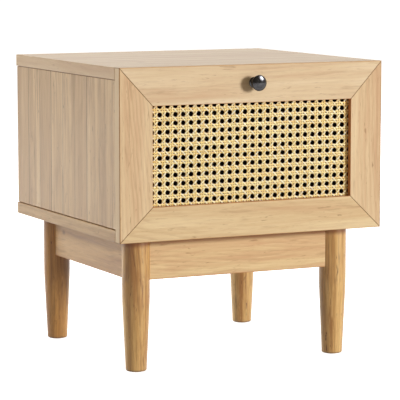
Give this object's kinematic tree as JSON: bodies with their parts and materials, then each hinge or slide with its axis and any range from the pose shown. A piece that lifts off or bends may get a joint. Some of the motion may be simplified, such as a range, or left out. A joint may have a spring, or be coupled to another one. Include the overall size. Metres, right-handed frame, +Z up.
{
  "type": "nightstand",
  "caption": "Square nightstand on round tapered legs, with a full-overlay cane-fronted drawer on ball-bearing slides and a small round knob.",
  "frame": {"origin": "on the floor, under the middle of the overall box, knob included", "axes": "+Z up, -Y out of the drawer front towards the user, +X to the right as seen from the front"},
  "size_m": [0.44, 0.431, 0.46],
  "materials": {
    "carcase_laminate": "pale natural oak-look laminate, satin",
    "front_laminate": "pale natural oak-look laminate, satin, mitred frame",
    "leg_wood": "turned solid wood with a clear satin lacquer",
    "drawer_board": "pale laminated board",
    "back_board": "thin laminated hardboard",
    "block_wood": "planed bare wood",
    "dowel_wood": "bare beech",
    "cane": "natural woven cane, satin skin",
    "backing_black": "matt black faced hardboard",
    "knob_black": "satin black, slightly worn gunmetal edge",
    "slide_steel": "bright zinc plated rolled steel",
    "ball_steel": "polished bearing steel",
    "fastener_steel": "zinc plated steel",
    "cam_zinc": "die-cast zinc",
    "glide_plastic": "off-white nylon",
    "bumper_clear": "soft clear dot"
  },
  "bodies": {
    "cabinet": {"top_panel": "carcase_laminate", "bottom_panel": "carcase_laminate", "left_side_panel": "carcase_laminate", "right_side_panel": "carcase_laminate", "back_panel": "back_board", "carcase_dowels": "dowel_wood", "cam_bolts": "fastener_steel", "cam_locks": "cam_zinc", "front_apron": "front_laminate", "rear_apron": "front_laminate", "left_apron": "front_laminate", "right_apron": "front_laminate", "apron_dowels": "dowel_wood", "front_left_leg": "leg_wood", "front_right_leg": "leg_wood", "rear_left_leg": "leg_wood", "rear_right_leg": "leg_wood", "corner_blocks": "block_wood", "hanger_bolts": "fastener_steel", "flange_nuts": "fastener_steel", "base_screws": "fastener_steel", "leg_glides": "glide_plastic", "left_slide_outer": "slide_steel", "right_slide_outer": "slide_steel", "slide_cabinet_screws": "fastener_steel"},
    "drawer": {"front_top_rail": "front_laminate", "front_bottom_rail": "front_laminate", "front_left_stile": "front_laminate", "front_right_stile": "front_laminate", "mitre_dowels": "dowel_wood", "cane_panel": "cane", "cane_backing": "backing_black", "cane_retaining_beads": "front_laminate", "drawer_inner_front": "drawer_board", "drawer_left_side": "drawer_board", "drawer_right_side": "drawer_board", "drawer_back": "drawer_board", "drawer_bottom": "drawer_board", "drawer_box_screws": "fastener_steel", "drawer_front_screws": "fastener_steel", "knob": "knob_black", "knob_screw": "fastener_steel", "left_slide_inner": "slide_steel", "right_slide_inner": "slide_steel", "slide_drawer_screws": "fastener_steel", "front_bumpers": "bumper_clear"},
    "left_middle_runner": {"left_slide_middle": "slide_steel"},
    "left_outer_ballset": {"left_outer_cage": "slide_steel", "left_outer_balls": "ball_steel"},
    "left_inner_ballset": {"left_inner_cage": "slide_steel", "left_inner_balls": "ball_steel"},
    "right_middle_runner": {"right_slide_middle": "slide_steel"},
    "right_outer_ballset": {"right_outer_cage": "slide_steel", "right_outer_balls": "ball_steel"},
    "right_inner_ballset": {"right_inner_cage": "slide_steel", "right_inner_balls": "ball_steel"}
  },
  "joints": [
    {"name": "drawer_slide", "type": "slide", "parent": "cabinet", "child": "drawer", "axis": [0, -1, 0], "range_m": [0, 0.35]},
    {"name": "left_middle_runner_slide", "type": "slide", "parent": "cabinet", "child": "left_middle_runner", "axis": [0, -1, 0], "range_m": [0, 0.175]},
    {"name": "left_outer_ballset_slide", "type": "slide", "parent": "cabinet", "child": "left_outer_ballset", "axis": [0, -1, 0], "range_m": [0, 0.0875]},
    {"name": "left_inner_ballset_slide", "type": "slide", "parent": "cabinet", "child": "left_inner_ballset", "axis": [0, -1, 0], "range_m": [0, 0.2625]},
    {"name": "right_middle_runner_slide", "type": "slide", "parent": "cabinet", "child": "right_middle_runner", "axis": [0, -1, 0], "range_m": [0, 0.175]},
    {"name": "right_outer_ballset_slide", "type": "slide", "parent": "cabinet", "child": "right_outer_ballset", "axis": [0, -1, 0], "range_m": [0, 0.0875]},
    {"name": "right_inner_ballset_slide", "type": "slide", "parent": "cabinet", "child": "right_inner_ballset", "axis": [0, -1, 0], "range_m": [0, 0.2625]}
  ],
  "couplings": [
    {"joint": "left_middle_runner_slide", "follows": "drawer_slide", "ratio": 0.5},
    {"joint": "left_outer_ballset_slide", "follows": "drawer_slide", "ratio": 0.25},
    {"joint": "left_inner_ballset_slide", "follows": "drawer_slide", "ratio": 0.75},
    {"joint": "right_middle_runner_slide", "follows": "drawer_slide", "ratio": 0.5},
    {"joint": "right_outer_ballset_slide", "follows": "drawer_slide", "ratio": 0.25},
    {"joint": "right_inner_ballset_slide", "follows": "drawer_slide", "ratio": 0.75}
  ]
}
